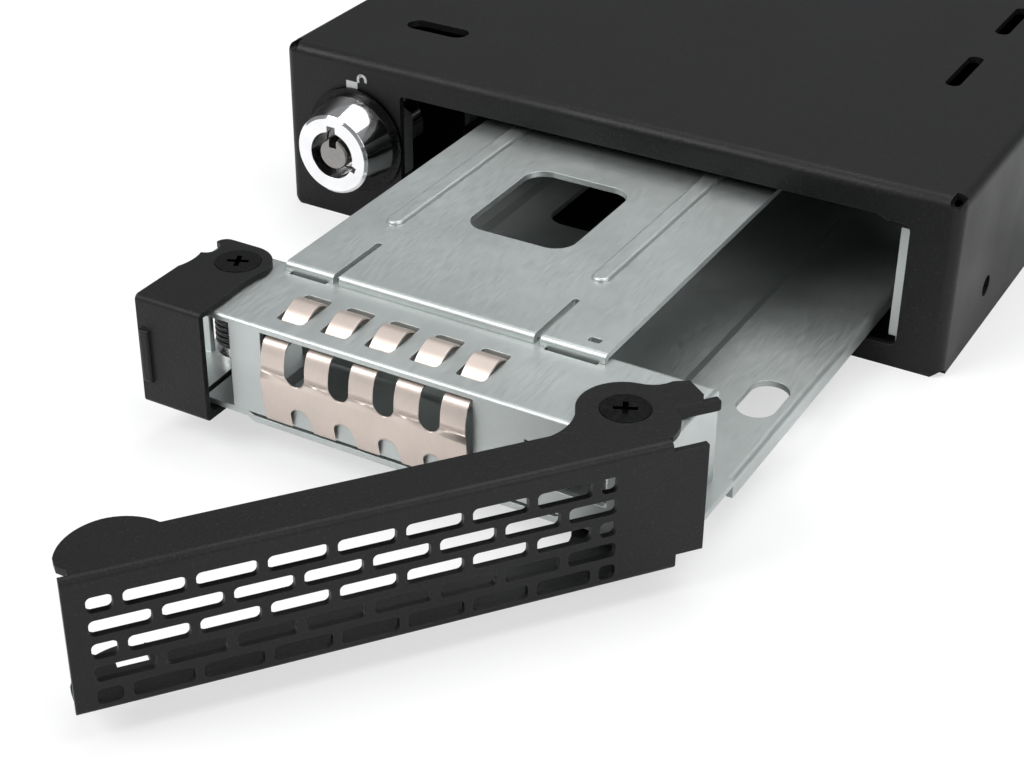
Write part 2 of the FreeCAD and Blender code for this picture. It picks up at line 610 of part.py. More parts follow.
def front_box():
    """Folded box across the tray's front: top with five sprung slots, windowed face, back
    wall and right end. Its left end is open for the latch."""
    t = TRAY_SHEET
    x0, x1 = tray_x0 + 0.2, tray_x1 - BOX_INSET
    wall_x = tray_x0 + 11.6
    z0, z1 = floor_z1, box_z1
    top = box(x0, x1, box_y0, box_y1, box_in_z, z1)
    face = box(wall_x, x1, box_y0, box_y0 + t, z0, z1)
    back = box(wall_x, x1, box_y1 - t, box_y1, z0, z1)
    end = box(x1 - t, x1, box_y0, box_y1, z0, z1)
    b = fuse([top, face, back, end])
    b = soften(b, t, lambda c: near(c.z, z1) and (near(c.y, box_y1) or near(c.x, x1))
               and not near(c.y, box_y0))
    b = soften(b, 0.5, lambda c: near(c.y, box_y0) and near(c.z, z1))
    tools = []
    # window behind the earthing fingers, right up to the top sheet
    last = finger_x(FINGERS - 1) + FINGER_W / 2 + 0.5
    tools.append(box(strip_x0 - 0.6, last, box_y0 - 1, box_y0 + t + 1, z0 + 4.2, box_in_z))
    # the face stops short of the floor between its two end posts
    tools.append(box(strip_x1 + 4.0, x1 - 6, box_y0 - 1, box_y0 + t + 1, z0 + 3.0, box_in_z - 3.0))
    for k in range(FINGERS):
        cx = finger_x(k)
        tools.append(rounded_box(cx - FINGER_W / 2 - 0.3, cx + FINGER_W / 2 + 0.3, box_y0 + 2.6,
                                 box_y0 + 9.2, box_in_z - 1, z1 + 1, 0.5))
    # slots for the hold-down plate's tabs
    for a, b_ in plate_tabs():
        tools.append(box(a + 0.8, b_ - 0.8, plate_y0 - 0.5, plate_y0 + 1.3, box_in_z - 1, z1 + 1))
    for x, y in ((hinge_x, hinge_y), (latch_x, latch_hy)):
        tools.append(rod(SCREW_BORE / 2 + CLEAR, V(x, y, box_in_z - 1), V(x, y, z1 + 1)))
    tools.append(sink(V(latch_x, latch_hy, latch_z1), -Z))
    tools.append(door_swing(z0 - 1, z1 + 1))
    return cut(b, tools)


def emi_strip():
    """Stainless earthing strip: a band low on the box's face whose five fingers bulge
    forward, run under the top sheet and loop up through its slots."""
    t = STRIP_T
    y = box_y0 - t
    z0, z_band = floor_z1 + 0.3, floor_z1 + 4.6
    band = box(strip_x0, strip_x1, y, box_y0, z0, z_band)
    holes = [rounded_box(finger_x(k) + FINGER_PITCH / 2 - 1.3, finger_x(k) + FINGER_PITCH / 2 + 1.3,
                         box_y0 - 2, box_y0 + 0.5, z0 + 1.5, z0 + 3.5, 0.7, Y) for k in range(FINGERS - 1)]
    band = cut(band, holes)
    ribbon = finger_ribbon(z_band)
    fingers = [ribbon.translated(V(finger_x(k) - FINGER_W / 2, 0, 0)) for k in range(FINGERS)]
    return fuse([band] + fingers)


def finger_ribbon(z_start):
    """One finger: a thin strip whose section bulges in front of the box, dips under the top
    sheet's edge and arches out of the slot behind it."""
    t, y, zt = STRIP_T, box_y0, box_in_z - 0.5
    knots = [(y - t / 2, z_start - 0.6), (y - 1.75, (z_start + zt) / 2 + 1.2), (y - 1.2, zt - 0.75),
             (y + 0.3, zt), (y + 2.3, zt - 0.05), (y + 3.3, zt + 0.35),
             (y + 5.9, box_z1 + 1.2), (y + 8.3, zt + 0.3), (y + 8.5, zt - 1.2)]
    curve = Part.BSplineCurve()
    curve.interpolate(Points=[V(0, b, c) for b, c in knots], InitialTangent=V(0, 0, 4),
                      FinalTangent=V(0, 0, -3))
    steps = 34
    front, behind = [], []
    for i in range(steps + 1):
        u = curve.FirstParameter + (curve.LastParameter - curve.FirstParameter) * i / steps
        p, d = curve.value(u), curve.tangent(u)[0]
        side = V(0, -d.z, d.y) * (t / 2)
        front.append(p + side)
        behind.append(p - side)
    ring = front + behind[::-1]
    return Part.Face(Part.makePolygon(ring + ring[:1])).extrude(V(FINGER_W, 0, 0))


def plate_tabs():
    """Outer front tabs of the hold-down plate, either side of its two slits."""
    return ((plate_x0, plate_x0 + 6.9), (plate_x1 - 8.4, plate_x1))


def plate_window():
    x0 = plate_x0 + 13.3
    y0 = plate_y0 + 19.3
    return x0, x0 + WINDOW_W, y0, y0 + WINDOW_L


def top_plate():
    """Hold-down plate over the drive: rolled front edge, two slits, two pressed ribs, a
    window, and a tab at each front corner that hooks into the box's top."""
    t = TRAY_SHEET
    z0, z1 = plate_z0, plate_z1
    y0, y1 = plate_y0, plate_y0 + PLATE_L
    sheet_ = box(plate_x0, plate_x1, y0, y1, z0, z1)
    roll = box(plate_x0, plate_x1, y0, y0 + t, box_z1 + 0.02, z1)
    hooks = [box(a + 1.0, b - 1.0, y0, y0 + t, box_in_z - 1.4, z1) for a, b in plate_tabs()]
    tail = box(plate_x0, plate_x1, y1 - t, y1, z0 - 1.6, z1)
    p = fuse([sheet_, roll, tail] + hooks)
    p = soften(p, t - 0.1, lambda c: near(c.z, z1) and (near(c.y, y0) or near(c.y, y1)))
    rib_mid, rib_len = (y0 + RIB_FRONT + y1 - RIB_REAR) / 2, PLATE_L - RIB_FRONT - RIB_REAR
    ribs, grooves = [], []
    for cx in (plate_x0 + RIBS_IN[0], plate_x1 - RIBS_IN[1]):
        rib = slot_up(cx, rib_mid, rib_len, RIB_W, z1 - 0.01, z1 + RIB_H, Y)
        ribs.append(soften(rib, RIB_H * 0.8, lambda c: near(c.z, z1 + RIB_H)))
        grooves.append(slot_up(cx, rib_mid, rib_len - t, RIB_W - 1.0, z0 - 1, z0 + RIB_H, Y))
    p = fuse([p] + ribs)
    wx0, wx1, wy0, wy1 = plate_window()
    tools = [rounded_box(wx0, wx1, wy0, wy1, z0 - 1, z1 + 1, 3.0)]
    for (a, b), x in zip(plate_tabs(), (plate_x0 + 6.9, plate_x1 - 8.4 - 0.8)):
        tools.append(slot_up(x + 0.4, y0 + 4.4, 11.0, 0.8, box_in_z - 3, z1 + 1, Y))
    tools.append(rounded_box(plate_x1 - 3.4, plate_x1 - 1.8, y0 + 2.0, y0 + 3.0, z0 - 1, z1 + 1, 0.3))
    return cut(p, tools + grooves)


def pivot_post(x, y, radius, collar_r):
    """Threaded post between the tray floor and the box's top."""
    z0 = floor_z1
    p = rod(radius, V(x, y, z0), V(x, y, box_in_z))
    collar = rod(collar_r, V(x, y, z0), V(x, y, z0 + 1.2))
    bore = rod(SCREW_BORE / 2 - 0.2, V(x, y, z0 - 1), V(x, y, box_in_z + 1))
    p = p.fuse(collar).cut(bore).removeSplitter()
    tips = [rod(SCREW_BORE / 2 + CLEAR / 2, V(x, y, z), V(x, y, z + 4.4))
            for z in (z0 - 0.2, box_in_z - 4.2)]
    return cut(p, tips)


def flat_screw(x, y, z, up, length):
    """Countersunk cross-head screw with its head's face at z."""
    p, d = V(x, y, z), V(0, 0, -1 if up else 1)
    head = cone(HEAD_R, SCREW_BORE / 2, p, p + d * HEAD_H)
    shank = rod(SCREW_BORE / 2, p + d * (HEAD_H - 0.1), p + d * length)
    arms = []
    for turn in (0, 90):
        a = box(-1.35, 1.35, -0.32, 0.32, -0.8, 0.8)
        a.rotate(V(0, 0, 0), Z, turn + 25)
        a.translate(V(x, y, z))
        arms.append(a)
    return cut(head.fuse(shank), arms)


def door_screws():
    top_len = door_z1 - (box_in_z - 4.0)
    low_len = (floor_z1 + 4.0) - door_z0
    return [flat_screw(hinge_x, hinge_y, door_z1 + HEAD_PROUD, True, top_len),
            flat_screw(hinge_x, hinge_y, door_z0 - HEAD_PROUD, False, low_len)]


def latch_screws():
    top_len = latch_z1 - (box_in_z - 4.0)
    low_len = (floor_z1 + 4.0) - latch_z0
    return [flat_screw(latch_x, latch_hy, latch_z1 + HEAD_PROUD, True, top_len),
            flat_screw(latch_x, latch_hy, latch_z0 - HEAD_PROUD, False, low_len)]


def door_washers():
    """Spacing washers between the door's flanges and the tray, above and below."""
    out = []
    gap = TRAY_SHEET + STACK_GAP / 2
    for z0, z1 in ((box_z1, door_z1 - gap), (door_z0 + gap, floor_z0)):
        w = rod(WASHER_R, V(hinge_x, hinge_y, z0), V(hinge_x, hinge_y, z1))
        bore = rod(SCREW_BORE / 2 + CLEAR, V(hinge_x, hinge_y, z0 - 1), V(hinge_x, hinge_y, z1 + 1))
        sinks = [sink(V(hinge_x, hinge_y, door_z1 + HEAD_PROUD), -Z),
                 sink(V(hinge_x, hinge_y, door_z0 - HEAD_PROUD), Z)]
        out.append(w.cut([bore] + sinks))
    return out


def latch_spring():
    """Torsion spring round the latch post, one leg on the latch's face."""
    wire_r, coil_r, pitch, turns = 0.3, 3.1, 0.75, 5
    rise = pitch / (2 * math.pi * coil_r)
    low, high = V(coil_r, 0, 0), V(coil_r, 0, pitch * turns)
    leg = latch_hy - latch_y - TRAY_SHEET - 0.5
    tail = LATCH_END_R - 0.6
    coil = Part.makeHelix(pitch, pitch * turns, coil_r)
    start = low - V(0, leg, leg * rise)
    path = Part.Wire([line(start, low)] + coil.Edges + [line(high, high + V(0, tail, tail * rise))])
    ring = Part.Wire(Part.makeCircle(wire_r, start, V(0, 1, rise)))
    spring = path.makePipeShell([ring], True, True)
    spring.translate(V(latch_x, latch_hy, floor_z1 + 2.2))
    return spring


# ------------------------------------------------------------------ door
def door_flange(z, lower):
    """Door flange seen from above: straight channel, round boss at the hinge, hook beyond
    it, and the ear at the free end."""
    t = TRAY_SHEET
    hx, hy = hinge_x, hinge_y
    x0, x1 = hx - DOOR_ARM, hx + DOOR_TAIL
    yf, ym, ye = door_y, door_y + FLANGE, door_y + EAR
    ear_r = 5.0
    ear_cx = x0 + 0.9 + ear_r
    p = lambda x, y: V(x, y, z)
    ear_y = ye - ear_r
    edges = [line(p(x0 + 1.0, yf), p(x0 + 1.0, yf + 1.6)),
             line(p(x0 + 1.0, yf + 1.6), p(x0 + 0.2, yf + 2.6)),
             line(p(x0 + 0.2, yf + 2.6), p(x0 + 0.2, ear_y + 0.4)),
             arc(p(x0 + 0.2, ear_y + 0.4), p(ear_cx - ear_r * 0.66, ye - 1.25), p(ear_cx, ye)),
             arc(p(ear_cx, ye), p(ear_cx + ear_r * 0.72, ye - 1.0), p(ear_cx + ear_r * 1.05, ym))]
    # run along the channel, sweep up round the hinge boss
    root = V(hx - BOSS_R - 4.2, ym, z)
    a0, a1, a2 = math.radians(165), math.radians(100), math.radians(48)
    on = lambda a: p(hx + BOSS_R * math.cos(a), hy + BOSS_R * math.sin(a))
    edges += [line(p(ear_cx + ear_r * 1.05, ym), root)]
    start = on(a0)
    bow = p((root.x + start.x) / 2 + 0.5, (root.y + start.y) / 2 - 0.35)
    edges += [arc(root, bow, start), arc(start, on(a1), on(a2))]
    if lower:
        end = on(math.radians(-40))
        step = x1 - DOOR_STEP
        edges += [arc(on(a2), on(0), end), line(end, p(step, yf + 1.6))]
        edges += [line(p(step, yf + 1.6), p(step, yf)), line(p(step, yf), p(x0 + 1.0, yf))]
    else:
        tip = [p(hx + 7.2, hy + 3.1), p(hx + 9.0, hy + 2.6), p(hx + 9.1, hy - 0.6),
               p(hx + 8.4, hy - HOOK_BACK), p(hx + 5.0, hy - HOOK_BACK)]
        edges += [arc(on(a2), p(hx + 5.2, hy + 3.1), tip[0])]
        edges += [line(a, b) for a, b in zip(tip, tip[1:])]
        low = p(hx + 1.9, yf + 1.0)
        edges += [arc(tip[-1], p(hx + 4.4, hy - 4.6), low), line(low, p(hx + 1.9, yf)),
                  line(p(hx + 1.9, yf), p(x0 + 1.0, yf))]
    return sheet(edges, t)


def door_vents():
    """Staggered rows of slots, with short ones closing the longer rows."""
    x0, x1 = hinge_x - DOOR_ARM + VENT_LEFT, hinge_x + DOOR_TAIL - VENT_RIGHT
    mid_z = (door_z0 + door_z1) / 2 - VENT_DROP
    out = []
    for row in range(VENT_ROWS):
        z = mid_z + (row - (VENT_ROWS - 1) / 2) * VENT_ROW_PITCH
        x = x0 if row % 2 else x0 - VENT_PITCH / 2
        while x < x1:
            a, b = max(x, x0), min(x + VENT_L, x1)
            if b - a > 2 * VENT_R + 0.1:
                out.append(rounded_box(a, b, door_y - 1, door_y + TRAY_SHEET + 1,
                                       z - VENT_H / 2, z + VENT_H / 2, VENT_R, Y))
            x += VENT_PITCH
    return out


def door():
    """Vented door folded to a channel: wall, two flanges that hold the hinge, the hook, and
    the slot in the lower ear that the latch's pin drops into."""
    t = TRAY_SHEET
    hx, hy = hinge_x, hinge_y
    x0, x1 = hx - DOOR_ARM, hx + DOOR_TAIL
    wall = box(x0, x1, door_y, door_y + t, door_z0, door_z1)
    top = door_flange(door_z1 - t, False)
    low = door_flange(door_z0, True)
    d = fuse([wall, top, low])
    d = soften(d, 0.75, lambda c: near(c.y, door_y) and (near(c.z, door_z1) or near(c.z, door_z0))
               and c.x > x0 + 3 and c.x < hx)
    # hook, turned down from the flange's tip as far as the box's top lets it
    ty, reach = hy - HOOK_BACK, hx + DOOR_HINGE_X + SIDE_GAP + HOOK_BITE
    tab = box(hx + 5.6, hx + 8.4, ty, ty + t, box_z1 + CLEAR, door_z1 - 0.3)
    nose = box(hx + 7.0, reach, ty, ty + t, box_z1 + CLEAR, door_z1 - 0.3)
    nose = soften(nose, 0.3, lambda c: near(c.x, reach) and near(c.y, ty + t / 2))
    d = fuse([d, tab, nose])
    # free edges: the wall above the crescent, and a step at the lower hinge corner
    tools = [box(hx + 1.9, x1 + 1, door_y - 1, door_y + t + 0.4, door_z1 - 1.2, door_z1 + 1),
             box(x1 - DOOR_STEP, x1 + 1, door_y - 1, door_y + 2, door_z0 - 1, door_z0 + 2.0)]
    for z, end in ((door_z1 + HEAD_PROUD, -1), (door_z0 - HEAD_PROUD, 1)):
        tools.append(rod(SCREW_BORE / 2 + CLEAR, V(hx, hy, z - end), V(hx, hy, z + 3 * end)))
        tools.append(sink(V(hx, hy, z), V(0, 0, end)))
    # seat and entry for the latch's pin in the lower ear
    px, py = latch_pin()
    z0, z1 = door_z0 - 1, door_z0 + t + 0.05
    seat = PIN_R + 2 * CLEAR
    tools.append(box(px - seat - CLEAR, px + PIN_TRAVEL, py - seat, py + seat, z0, z1))
    tools.append(box(px + PIN_CATCH, px + PIN_TRAVEL, py - seat, door_y + EAR + 1, z0, z1))
    return cut(d, tools + door_vents())


# ------------------------------------------------------------------ latch
def latch_pin():
    return latch_x + 0.4, latch_hy - PIN_REACH


def latch_outline(z):
    cx, cy = latch_x, latch_hy
    x0, x1 = tray_x0, tray_x0 + LATCH_W
    r = LATCH_END_R
    p = lambda x, y: V(x, y, z)
    s = math.sqrt(0.5)
    left = x0 + 0.2
    edges = [line(p(x0, latch_y), p(x1, latch_y)), line(p(x1, latch_y), p(x1, cy - 7.0)),
             arc(p(x1, cy - 7.0), p(cx + 3.75, cy - 4.6), p(cx + r * 0.94, cy - r * 0.34)),
             arc(p(cx + r * 0.94, cy - r * 0.34), p(cx + r * s, cy + r * s), p(cx, cy + r)),
             line(p(cx, cy + r), p(left + 1.4, cy + r)),
             arc(p(left + 1.4, cy + r), p(left + 0.4, cy + r - 0.4), p(left, cy + r - 1.4)),
             arc(p(left, cy + r - 1.4), p(left + 1.3, cy + 1.2), p(left, cy - 0.4)),
             arc(p(left, cy - 0.4), p(left + 0.25, cy - 2.6), p(x0, cy - 4.6)),
             line(p(x0, cy - 4.6), p(x0, latch_y))]
    return edges


def latch():
    """Sprung latch: top and bottom plates joined by the face with its grip bar, and a pin
    below that holds the door's lower ear."""
    t = TRAY_SHEET
    x0, x1 = tray_x0, tray_x0 + LATCH_W
    top = sheet(latch_outline(latch_z1 - t), t)
    low = sheet(latch_outline(latch_z0), t)
    face = box(x0, x1, latch_y, latch_y + t, latch_z0, latch_z1)
    b = fuse([top, low, face])
    b = soften(b, 0.7, lambda c: near(c.y, latch_y) and (near(c.z, latch_z0) or near(c.z, latch_z1)))
    mid = (latch_z0 + latch_z1) / 2 - 0.5
    grip = box(x0 + 0.4, x0 + 1.8, latch_y - 0.5, latch_y + 0.1, mid - 3.6, mid + 3.6)
    grip = soften(grip, 0.35, lambda c: near(c.y, latch_y - 0.5))
    px, py = latch_pin()
    pin = rod(PIN_R, V(px, py, door_z0 + CLEAR), V(px, py, latch_z0 + CLEAR))
    b = fuse([b, grip, pin])
    tools = []
    for z, end in ((latch_z1 + HEAD_PROUD, -1), (latch_z0 - HEAD_PROUD, 1)):
        tools.append(rod(SCREW_BORE / 2 + CLEAR, V(latch_x, latch_hy, z - end),
                         V(latch_x, latch_hy, z + 3 * end)))
        tools.append(sink(V(latch_x, latch_hy, z), V(0, 0, end)))
    return cut(b, tools)


# ------------------------------------------------------------------ poses and export
rack = {
    "cage_cover": cage_cover(),
    "cage_base": cage_base(),
    "cover_screws": cover_screws(),
    "guide_rail_left": guide_rail(False),
    "guide_rail_right": guide_rail(True),
    "runner_left": runner(False),
    "runner_right": runner(True),
    "lock_housing": lock_housing(),
    "lock_washer": lock_washer(),
    "lock_nut": lock_nut(),
    "backplane_board": backplane_board(),
    "board_screws": board_screws(),
    "drive_connector": drive_connector(),
    "data_port": rear_port(DATA_PORT, 7),
    "power_port": rear_port(POWER_PORT, 15),
}
lock = {"lock_core": lock_core(), "lock_cam": lock_cam(), "cam_screw": cam_screw()}
caddy = {
    "tray_pan": tray_pan(),
    "front_box": front_box(),
    "emi_strip": emi_strip(),
    "top_plate": top_plate(),
    "door_post": pivot_post(hinge_x, hinge_y, 2.2, 2.4),
    "latch_post": pivot_post(latch_x, latch_hy, 2.4, 3.3),
    "door_screws": door_screws(),
    "latch_screws": latch_screws(),
    "door_washers": door_washers(),
    "latch_spring": latch_spring(),
}
swinging = {"door": door()}
sprung = {"latch": latch()}

to_origin = V(-CAGE_W / 2, -CAGE_D / 2, 0)
slide = V(0, -TRAY_OUT, 0)


def place(shape, turn, move):
    s = shape.copy()
    if turn:
        s.rotate(V(hinge_x, hinge_y, 0), Z, turn)
    s.translate(move)
    return s


os.makedirs("parts", exist_ok=True)
for group, turn, move in ((rack, 0, to_origin), (lock, 0, to_origin), (caddy, 0, to_origin + slide),
                          (sprung, 0, to_origin + slide), (swinging, DOOR_OPEN, to_origin + slide)):
    for name, shape in group.items():
        solids = shape if isinstance(shape, list) else [shape]
        solids = [s for piece in solids for s in piece.Solids]
        placed = [place(s, turn, move) for s in solids]
        out = placed[0] if len(placed) == 1 else Part.makeCompound(placed)
        print(name, len(placed), all(s.isValid() for s in placed), round(sum(s.Volume for s in placed), 1))
        out.exportStep(os.path.join("parts", name + ".step"))
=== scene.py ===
import json
import math

import bmesh
import bpy
from mathutils import Matrix, Vector


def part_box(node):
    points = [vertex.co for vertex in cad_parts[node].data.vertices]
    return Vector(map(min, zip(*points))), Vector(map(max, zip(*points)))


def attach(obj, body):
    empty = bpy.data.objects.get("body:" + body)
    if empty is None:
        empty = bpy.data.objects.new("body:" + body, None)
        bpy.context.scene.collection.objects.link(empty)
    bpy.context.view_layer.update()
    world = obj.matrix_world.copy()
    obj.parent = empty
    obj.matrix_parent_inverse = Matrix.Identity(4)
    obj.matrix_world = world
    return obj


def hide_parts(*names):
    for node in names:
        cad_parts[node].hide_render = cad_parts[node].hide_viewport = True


# Looks for the hot swap drive caddy: finishes for every CAD node, the printed glyph over the
# lock, the earthing strip, the floor, the lamps and the camera. Metres, in the CAD model's frame.

MM = 0.001
BEVEL_SAMPLES = 6

# ---- camera ----
CAMERA_AT = (0.1086, -0.2886, 0.1329)
CAMERA_YAW = 29.35          # degrees left of +Y
CAMERA_PITCH = 31.82        # degrees below the horizon
CAMERA_ROLL = 0.61
CAMERA_LENS = 69.1

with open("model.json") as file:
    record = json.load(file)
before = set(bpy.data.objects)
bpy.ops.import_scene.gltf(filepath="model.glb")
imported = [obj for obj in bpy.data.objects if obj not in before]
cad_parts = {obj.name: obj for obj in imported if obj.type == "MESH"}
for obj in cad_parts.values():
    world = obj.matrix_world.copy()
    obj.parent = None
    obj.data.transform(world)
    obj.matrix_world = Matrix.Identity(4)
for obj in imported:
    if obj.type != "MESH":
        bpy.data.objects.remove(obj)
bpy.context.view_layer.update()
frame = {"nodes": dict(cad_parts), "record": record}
nodes = frame["nodes"]


# ------------------------------------------------------------------ node helpers
class Look:
    """A material under construction: its tree, its shader and short ways to add nodes."""

    def __init__(self, name, color, metallic, roughness):
        self.material = bpy.data.materials.new(name)
        self.material.use_nodes = True
        self.tree = self.material.node_tree
        self.shader = self.tree.nodes["Principled BSDF"]
        self.set("Base Color", (*color, 1))
        self.set("Metallic", metallic)
        self.set("Roughness", roughness)
        self.coords = self.add("ShaderNodeTexCoord").outputs["Object"]

    def set(self, socket, value):
        self.shader.inputs[socket].default_value = value

    def add(self, kind, **values):
        node = self.tree.nodes.new(kind)
        for key, value in values.items():
            setattr(node, key, value)
        return node

    def link(self, source, target):
        self.tree.links.new(source, target)

    def noise(self, scale, detail=3, stretch=(1, 1, 1), rough=0.5):
        """Noise from 0 to 1 whose grains are about 1/scale metres."""
        mapping = self.add("ShaderNodeMapping")
        mapping.inputs["Scale"].default_value = stretch
        self.link(self.coords, mapping.inputs["Vector"])
        node = self.add("ShaderNodeTexNoise")
        node.inputs["Scale"].default_value = scale
        node.inputs["Detail"].default_value = detail
        node.inputs["Roughness"].default_value = rough
        self.link(mapping.outputs["Vector"], node.inputs["Vector"])
        return node.outputs["Fac"]

    def spread(self, value, low, high, start=0.3, end=0.7):
        """A value mapped to the range low to high."""
        node = self.add("ShaderNodeMapRange")
        ranges = (("From Min", start), ("From Max", end), ("To Min", low), ("To Max", high))
        for name, number in ranges:
            node.inputs[name].default_value = number
        self.link(value, node.inputs["Value"])
        return node.outputs["Result"]

    def blend(self, factor, first, second):
        """Mix of two colours, each a colour or a socket."""
        node = self.add("ShaderNodeMix", data_type="RGBA")
        self.link(factor, node.inputs[0])
        for socket, value in ((node.inputs[6], first), (node.inputs[7], second)):
            if isinstance(value, tuple):
                socket.default_value = (*value, 1)
            else:
                self.link(value, socket)
        return node.outputs[2]

    def bump(self, layers, edge=0.12 * MM):
        """Bump layers of (height, strength, distance) over softened edges."""
        bevel = self.add("ShaderNodeBevel", samples=BEVEL_SAMPLES)
        bevel.inputs["Radius"].default_value = edge
        normal = bevel.outputs["Normal"]
        for height, strength, distance in layers:
            node = self.add("ShaderNodeBump")
            node.inputs["Strength"].default_value = strength
            node.inputs["Distance"].default_value = distance
            self.link(height, node.inputs["Height"])
            self.link(normal, node.inputs["Normal"])
            normal = node.outputs["Normal"]
        self.link(normal, self.shader.inputs["Normal"])

    def edges(self, width):
        """1 on outer and inner edges, 0 on flats."""
        bevel = self.add("ShaderNodeBevel", samples=BEVEL_SAMPLES)
        bevel.inputs["Radius"].default_value = width
        geometry = self.add("ShaderNodeNewGeometry")
        dot = self.add("ShaderNodeVectorMath", operation="DOT_PRODUCT")
        self.link(bevel.outputs["Normal"], dot.inputs[0])
        self.link(geometry.outputs["Normal"], dot.inputs[1])
        return self.spread(dot.outputs["Value"], 1, 0, 0.8, 1.0)


def powder_coat(name, color, grain=2600):
    """Fine textured powder coat: small rounded grains, slightly rubbed edges."""
    look = Look(name, color, 0.0, 0.5)
    fine = look.noise(grain, 2, rough=0.6)
    broad = look.noise(60, 2)
    worn = look.edges(0.25 * MM)
    speck = look.spread(fine, 0, 1, 0.58, 0.75)
    lighter = tuple(c * 2.5 + 0.003 for c in color)
    grainy = look.blend(speck, color, lighter)
    rubbed = tuple(c * 3 + 0.008 for c in color)
    coat = look.blend(look.spread(worn, 0, 0.6, 0, 1), grainy, rubbed)
    look.link(coat, look.shader.inputs["Base Color"])
    look.link(look.spread(broad, 0.40, 0.54), look.shader.inputs["Roughness"])
    look.set("Specular IOR Level", 0.26)
    look.bump([(fine, 0.45, 0.12 * MM)])
    return look.material


def sheet_metal(name, color, roughness, along=(1, 1, 1), grain=0.04):
    """Plated sheet: faint rolling grain, cloudy plating and bright sheared edges."""
    look = Look(name, color, 0.9, roughness)
    roll = look.noise(900, 3, along)
    cloud = look.noise(90, 3)
    crystals = look.noise(2400, 2)
    darker = tuple(c * 0.86 for c in color)
    lighter = tuple(min(1, c * 1.12) for c in color)
    base = look.blend(look.spread(cloud, 0, 1), darker, color)
    edge = look.spread(look.edges(0.2 * MM), 0, 0.7, 0, 1)
    look.link(look.blend(edge, base, lighter), look.shader.inputs["Base Color"])
    worn = look.spread(roll, roughness - 0.05, roughness + 0.08)
    look.link(worn, look.shader.inputs["Roughness"])
    look.bump([(roll, grain, 0.05 * MM), (crystals, grain, 0.03 * MM)])
    return look.material


def polished(name, color, roughness):
    """Plated or blackened turned metal with faint handling marks."""
    look = Look(name, color, 1.0, roughness)
    marks = look.noise(1500, 4, (1, 1, 6))
    cloud = look.noise(300, 2)
    look.link(look.spread(marks, roughness * 0.7, roughness * 1.6), look.shader.inputs["Roughness"])
    darker = tuple(c * 0.9 for c in color)
    look.link(look.blend(look.spread(cloud, 0, 1), darker, color), look.shader.inputs["Base Color"])
    look.bump([(marks, 0.03, 0.02 * MM)], 0.08 * MM)
    return look.material


def moulded(name, color, roughness):
    """Moulded plastic or solder mask with a fine spark-eroded texture."""
    look = Look(name, color, 0.0, roughness)
    fine = look.noise(3000, 2)
    cloud = look.noise(120, 2)
    lighter = tuple(c * 1.5 + 0.006 for c in color)
    tint = look.blend(look.spread(cloud, 0, 1), color, lighter)
    look.link(tint, look.shader.inputs["Base Color"])
    grain = look.spread(fine, roughness - 0.07, roughness + 0.07)
    look.link(grain, look.shader.inputs["Roughness"])
    look.bump([(fine, 0.12, 0.05 * MM)])
    return look.material


# ------------------------------------------------------------------ finishes
finishes = {
    "powder_black": powder_coat("powder_black", (0.0045, 0.0045, 0.0048)),
    "zinc_sheet": sheet_metal("zinc_sheet", (0.54, 0.575, 0.565), 0.45, (6, 0.4, 6)),
    "rail_sheet": sheet_metal("rail_sheet", (0.62, 0.64, 0.63), 0.4, (6, 0.4, 6)),
    "earthing_strip": sheet_metal("earthing_strip", (0.66, 0.575, 0.52), 0.46, (6, 6, 0.5), 0.012),
    "lock_chrome": polished("lock_chrome", (0.86, 0.86, 0.87), 0.1),
    "lock_core_steel": polished("lock_core_steel", (0.30, 0.29, 0.28), 0.3),
    "plain_steel": polished("plain_steel", (0.55, 0.55, 0.54), 0.35),
    "black_screw": polished("black_screw", (0.02, 0.02, 0.02), 0.24),
    "post_steel": polished("post_steel", (0.62, 0.62, 0.61), 0.22),
    "spring_black": polished("spring_black", (0.05, 0.05, 0.05), 0.35),
    # the near-black washer_nylon finish paints the shadow in the recess round the lock's seat:
    # painted shade
    "washer_nylon": moulded("washer_nylon", (0.03, 0.03, 0.03), 0.45),
    "runner_plastic": moulded("runner_plastic", (0.02, 0.02, 0.021), 0.5),
    "board_green": moulded("board_green", (0.015, 0.09, 0.045), 0.35),
    "connector_black": moulded("connector_black", (0.018, 0.018, 0.018), 0.42),
}
for subpart in frame["record"]["subparts"]:
    mesh = nodes[subpart["node"]].data
    mesh.materials.clear()
    mesh.materials.append(finishes[subpart["material_slot"]])


# ------------------------------------------------------------------ printed glyph
PRINT_T = 0.04              # mm, thickness of the print
GLYPH_LIFT = 0.03           # print in front of the cage's face
GLYPH_LEFT = 0.5            # its body left of the lock's middle
GLYPH_ABOVE = 0.4           # its foot above the lock
GLYPH_W, GLYPH_H = 1.9, 1.5     # the padlock's body
SHACKLE_R, SHACKLE_BAND = 0.85, 0.42


def printed(name, outlines, place):
    """Thin printed shapes from closed outlines of (x, z) in mm, facing -Y."""
    mesh = bpy.data.meshes.new(name)
    shape = bmesh.new()
    for outline in outlines:
        ring = [shape.verts.new((x * MM, 0, z * MM)) for x, z in outline]
        shape.faces.new(ring)
    bmesh.ops.triangulate(shape, faces=shape.faces[:])
    bmesh.ops.solidify(shape, geom=shape.faces[:], thickness=-PRINT_T * MM)
    shape.to_mesh(mesh)
    shape.free()
    piece = bpy.data.objects.new(name, mesh)
    bpy.context.collection.objects.link(piece)
    piece.location = place
    return piece


